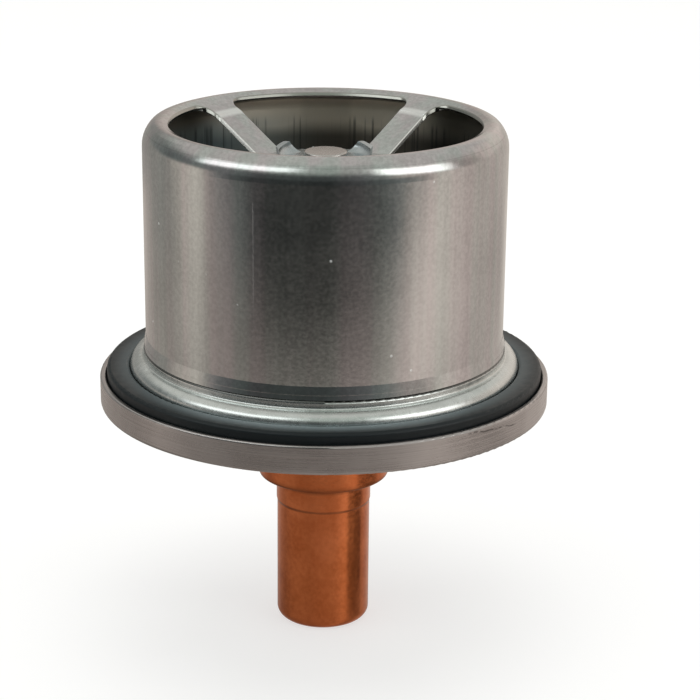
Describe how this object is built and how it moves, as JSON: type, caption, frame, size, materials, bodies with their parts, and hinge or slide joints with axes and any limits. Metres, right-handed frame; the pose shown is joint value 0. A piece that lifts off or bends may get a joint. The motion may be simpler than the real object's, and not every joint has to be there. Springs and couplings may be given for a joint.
{
  "type": "engine thermostat",
  "caption": "Sleeve-type engine coolant thermostat: steel sleeve with spoked end on a round flange with rubber gasket, and a copper wax element below.",
  "frame": {"origin": "centre of the flange, on the plane of its underside", "axes": "+Z along the sleeve's axis from the flange to the spoked end, +X to the right and +Y away in the reference view"},
  "size_m": [0.073, 0.073, 0.085],
  "materials": {
    "flange_steel": "brushed, satin, lightly scratched",
    "seat_steel": "drawn, bright bead",
    "gasket_rubber": "moulded, matt",
    "cage_steel": "drawn, plain",
    "bush_brass": "turned",
    "element_copper": "bare copper, satin, slightly tarnished",
    "guide_brass": "turned",
    "clip_steel": "blued spring steel",
    "boot_rubber": "moulded",
    "wax": "copper-filled wax",
    "spring_steel": "drawn wire, ground ends",
    "sleeve_steel": "deep drawn, brushed, mottled",
    "saddle_steel": "stamped, zinc bright",
    "stem_steel": "turned, riveted head",
    "spring_seat_steel": "pressed",
    "piston_steel": "ground and polished"
  },
  "bodies": {
    "fixed_frame": {"flange": "flange_steel", "seat_ring": "seat_steel", "flange_gasket": "gasket_rubber", "spring_cage": "cage_steel", "guide_bush": "bush_brass", "element_cup": "element_copper", "element_guide": "guide_brass", "element_clip": "clip_steel", "element_boot": "boot_rubber", "wax_charge": "wax", "return_spring": "spring_steel"},
    "moving_valve": {"valve_sleeve": "sleeve_steel", "hub_saddle": "saddle_steel", "stem": "stem_steel", "spring_seat": "spring_seat_steel", "piston": "piston_steel"}
  },
  "joints": [
    {"name": "valve_lift", "type": "slide", "parent": "fixed_frame", "child": "moving_valve", "axis": [0, 0, 1], "range_m": [0, 0.01], "stiffness_N_per_m": 4000, "springref_m": -0.01, "deforming": ["return_spring"]}
  ]
}
